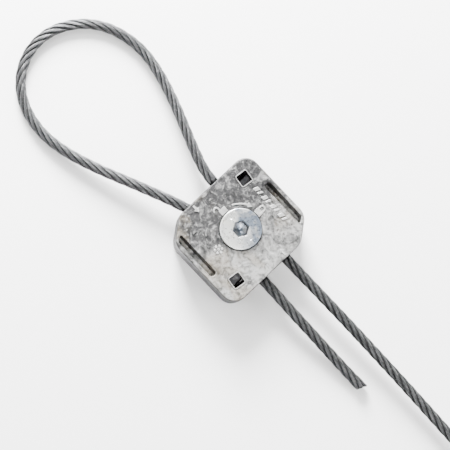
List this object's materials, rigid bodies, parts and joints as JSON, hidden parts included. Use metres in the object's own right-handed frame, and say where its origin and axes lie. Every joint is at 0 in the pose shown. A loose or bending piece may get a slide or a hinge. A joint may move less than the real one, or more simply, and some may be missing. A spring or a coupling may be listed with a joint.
{
  "type": "wire rope grip",
  "caption": "Die-cast two-channel wire rope grip with a central hex-socket lock spindle, holding a steel wire rope in an adjustable loop; the line ends in a thimble eye.",
  "frame": {"origin": "bottom centre of the housing, on the lock spindle's axis, with the housing lying on its back", "axes": "+X along the rope towards the tail and the standing line, +Y across the rope towards the standing line's channel, +Z out of the housing's face"},
  "size_m": [0.3943, 0.0783, 0.0218],
  "materials": {
    "zinc_casting": "raw die-cast zinc",
    "plated_steel": "bluish zinc plating",
    "dark_steel": "phosphated hardened steel",
    "spring_steel": "bare spring steel",
    "wire_rope": "galvanised wire",
    "soft_alloy": "pressed",
    "seal_rubber": "matt"
  },
  "bodies": {
    "housing": {"casting_body": "zinc_casting", "turn_stop_pin": "dark_steel", "spindle_wave_washer": "spring_steel", "spindle_thrust_washer": "spring_steel", "line_end_plug": "zinc_casting", "tail_end_plug": "zinc_casting", "line_plug_pin": "dark_steel", "tail_plug_pin": "dark_steel", "line_in_channel": "wire_rope", "tail_in_channel": "wire_rope", "line_wedge_spring": "spring_steel", "tail_wedge_spring": "spring_steel", "standing_line": "wire_rope", "rope_loop": "wire_rope", "rope_tail": "wire_rope", "eye_ferrule": "soft_alloy", "eye_thimble": "plated_steel", "eye_rope": "wire_rope"},
    "cam_spindle": {"lock_spindle": "plated_steel", "spindle_seal_ring": "seal_rubber", "spindle_retaining_ring": "dark_steel"},
    "line_gripper": {"line_wedge": "dark_steel"},
    "tail_gripper": {"tail_wedge": "dark_steel"}
  },
  "joints": [
    {"name": "spindle_turn", "type": "hinge", "parent": "housing", "child": "cam_spindle", "pos_m": [0, 0, 0.01], "axis": [0, 0, 1], "range_deg": [-90, 0]},
    {"name": "line_wedge_slide", "type": "slide", "parent": "housing", "child": "line_gripper", "axis": [-0.9914, 0.1305, 0], "range_m": [0, 0.0035], "stiffness_N_per_m": 300, "springref_m": -0.002, "deforming": ["line_wedge_spring"]},
    {"name": "tail_wedge_slide", "type": "slide", "parent": "housing", "child": "tail_gripper", "axis": [0.9914, -0.1305, 0], "range_m": [0, 0.0035], "stiffness_N_per_m": 300, "springref_m": -0.002, "deforming": ["tail_wedge_spring"]}
  ]
}
